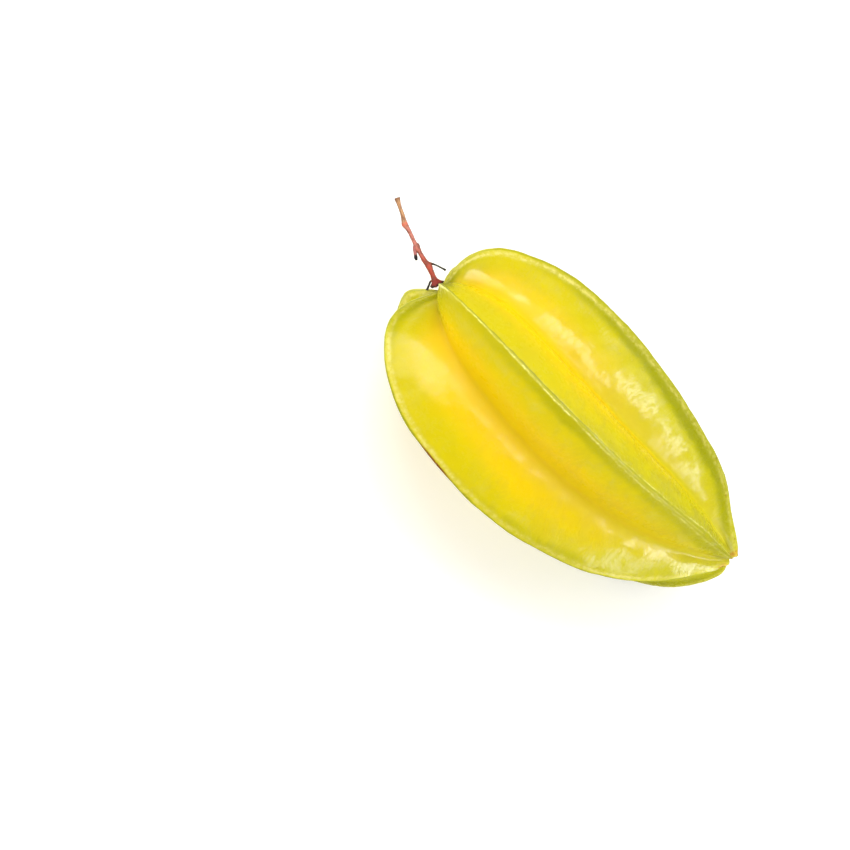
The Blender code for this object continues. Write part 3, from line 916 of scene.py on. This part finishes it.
def rest_matrix(skin):
    """How the whole fruit lies: turned, its skin on the floor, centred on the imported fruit."""
    turn = Euler((REST_ROLL, REST_PITCH, 0.0)).to_matrix().to_4x4()
    points = np.array([(turn @ vertex.co)[:] for vertex in skin.data.vertices])
    low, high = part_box("fruit")
    middle = (low + high) / 2
    shift = (middle.x - (points[:, 0].min() + points[:, 0].max()) / 2,
             middle.y - (points[:, 1].min() + points[:, 1].max()) / 2, low.z - points[:, 2].min())
    return Matrix.Translation(shift) @ turn


pieces = make_pieces()
rest = rest_matrix(pieces["fruit"])
for node, piece in pieces.items():
    if volume(piece.data) < 0:
        piece.data.flip_normals()
    piece.data.transform(rest)
    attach(piece, "root")
    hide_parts(node)


# ------------------------------------------------------------- camera and light
LENS = 200.0                            # millimetres
SENSOR = 36.0
VIEW_WIDTH = 242.9 * MM                 # how much the frame takes in at the fruit
VIEW_TILT = math.radians(9.0)           # towards the stem, from straight above the fruit's own axis
FRUIT_SLANT = math.radians(42.5)        # how far the fruit runs down to the right in the frame
VIEW_CENTRE = (24.1 * MM, -31.4 * MM)   # the middle of the frame, along the fruit and beside it
VIEW_LEVEL = -8.0 * MM                  # the height over the axis at which VIEW_WIDTH holds
LIGHTS_AIM = Vector((0.0, 0.0, 30.0 * MM))    # the place that every light faces
FLOOR_SIDE = 8.0


def local_view():
    """The camera's axes before the fruit is laid down: right, up and back, and the point that it looks at."""
    along = Vector((math.cos(VIEW_TILT), 0.0, math.sin(VIEW_TILT)))
    beside = Vector((0.0, 1.0, 0.0))
    back = along.cross(beside)
    right = along * math.cos(FRUIT_SLANT) + beside * math.sin(FRUIT_SLANT)
    up = beside * math.cos(FRUIT_SLANT) - along * math.sin(FRUIT_SLANT)
    aim = along * VIEW_CENTRE[0] + beside * VIEW_CENTRE[1] + back * VIEW_LEVEL
    return right, up, back, aim


def add_camera():
    right, up, back, aim = local_view()
    distance = VIEW_WIDTH * LENS / SENSOR
    data = bpy.data.cameras.new("camera")
    data.lens = LENS
    data.sensor_width = SENSOR
    camera = bpy.data.objects.new("camera", data)
    bpy.context.scene.collection.objects.link(camera)
    turned = Matrix((right, up, back)).transposed().to_4x4()
    camera.matrix_world = rest @ Matrix.Translation(aim + back * distance) @ turned
    bpy.context.scene.camera = camera


def add_softbox(name, lean_along, lean_beside, distance, size, brightness, lit=True, mirrored=True):
    """A flat light that faces the fruit, leaning from the upright along and beside it, in degrees.

    It lights the fruit, is mirrored in the wax of its skin, or both.
    """
    data = bpy.data.lights.new(name, "AREA")
    data.shape = "RECTANGLE"
    data.size, data.size_y = size
    data.energy = brightness * math.pi * size[0] * size[1]
    light = bpy.data.objects.new(name, data)
    light.visible_camera = False
    light.visible_diffuse = lit
    light.visible_glossy = mirrored
    bpy.context.scene.collection.objects.link(light)
    leans = [math.tan(math.radians(lean)) for lean in (lean_along, lean_beside)]
    towards = Vector((*leans, 1.0)).normalized()
    light.location = LIGHTS_AIM + towards * distance
    light.rotation_euler = towards.to_track_quat("Z", "Y").to_euler()


def add_world(brightness, mirrored, backdrop):
    """Even light from all round. The wax mirrors less of it, and the camera sees a whiter backdrop."""
    world = bpy.data.worlds.new("studio")
    world.use_nodes = True
    bpy.context.scene.world = world
    tree = Tree(world.node_tree)
    seen = tree.node("ShaderNodeLightPath", {}, {}, "Is Camera Ray")
    glossy = seen.output("Is Glossy Ray")
    background = world.node_tree.nodes["Background"]
    background.inputs["Color"].default_value = (1.0, 1.0, 1.0, 1.0)
    strength = brightness + (backdrop - brightness) * seen + (mirrored - brightness) * glossy
    tree.nodes.links.new(strength.socket, background.inputs["Strength"])


def add_floor():
    mesh = bpy.data.meshes.new("floor")
    half = FLOOR_SIDE / 2
    corners = ((-half, -half, 0.0), (half, -half, 0.0), (half, half, 0.0), (-half, half, 0.0))
    mesh.from_pydata(corners, [], [(0, 1, 2, 3)])
    mesh.materials.append(floor_material())
    floor = bpy.data.objects.new("floor", mesh)
    bpy.context.scene.collection.objects.link(floor)
    floor.visible_glossy = False


add_camera()
# The softboxes light the skin, and the strips are only mirrored in its wax.
add_softbox("overhead_softbox", 6, 36, 1.2, (1.5, 0.6), 2.4, mirrored=False)
add_softbox("stem_side_softbox", -32, 25, 1.2, (0.60, 0.60), 5.5, mirrored=False)
add_softbox("tip_side_softbox", 76, -15, 1.2, (0.35, 1.3), 5.0)
add_softbox("low_fill", -44, -72, 1.4, (1.2, 0.6), 3.5, mirrored=False)
add_softbox("stem_strip", -41, -14, 1.2, (0.9, 1.3), 4.2, lit=False)
add_softbox("middle_strip", -3, 8, 1.2, (0.8, 0.50), 3.8, lit=False)
add_softbox("tip_strip", 36, 22, 1.2, (1.1, 0.5), 4.2, lit=False)
add_softbox("left_tip_strip", 60, -46, 1.2, (0.6, 0.34), 2.8, lit=False)
add_world(brightness=0.58, mirrored=0.13, backdrop=1.0)
add_floor()
bpy.context.scene.view_settings.view_transform = "Standard"
